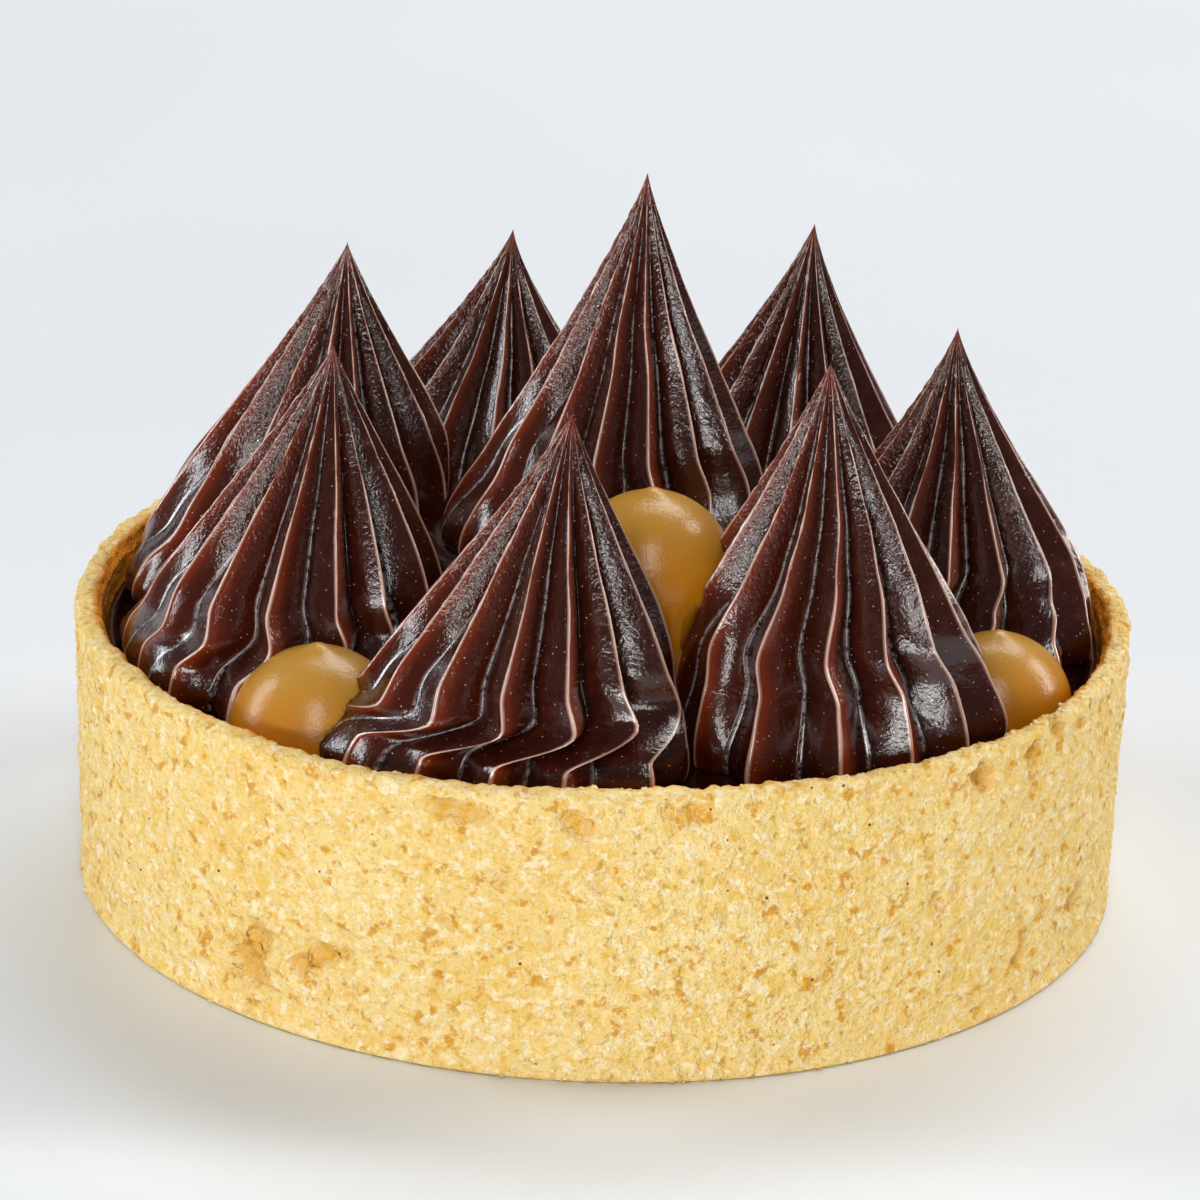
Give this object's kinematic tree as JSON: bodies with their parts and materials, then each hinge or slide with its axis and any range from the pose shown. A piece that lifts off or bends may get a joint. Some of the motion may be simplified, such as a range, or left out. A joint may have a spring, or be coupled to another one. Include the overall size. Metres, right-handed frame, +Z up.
{
  "type": "chocolate tart",
  "caption": "Small round tart: a straight-sided pastry shell filled with ganache, topped with piped chocolate stars pulled to points and drops of soft caramel between them.",
  "frame": {"origin": "middle of the underside, in the plane the tart rests on", "axes": "+Z up through the middle star, -Y towards the front star, +X to the right as seen from the front"},
  "size_m": [0.0747, 0.0753, 0.0512],
  "materials": {
    "pastry": "baked shortcrust: pale gold, finely granular, speckled with browner crumbs and small pits",
    "ganache": "smooth dark ganache with a soft gloss",
    "piped_chocolate": "soft piped chocolate: dark brown and glossy with fine sparkle, red-brown where light passes through the ridges",
    "caramel": "glossy, slightly translucent golden caramel"
  },
  "bodies": {
    "root": {"pastry_shell": "pastry", "filling": "ganache", "star_front": "piped_chocolate", "star_front_right": "piped_chocolate", "star_right": "piped_chocolate", "star_back_right": "piped_chocolate", "star_back_left": "piped_chocolate", "star_left": "piped_chocolate", "star_front_left": "piped_chocolate", "star_middle": "piped_chocolate", "caramel_front_left": "caramel", "caramel_inner_front": "caramel", "caramel_right": "caramel", "caramel_back_right": "caramel", "caramel_inner_back": "caramel", "caramel_back_left": "caramel"}
  },
  "joints": []
}
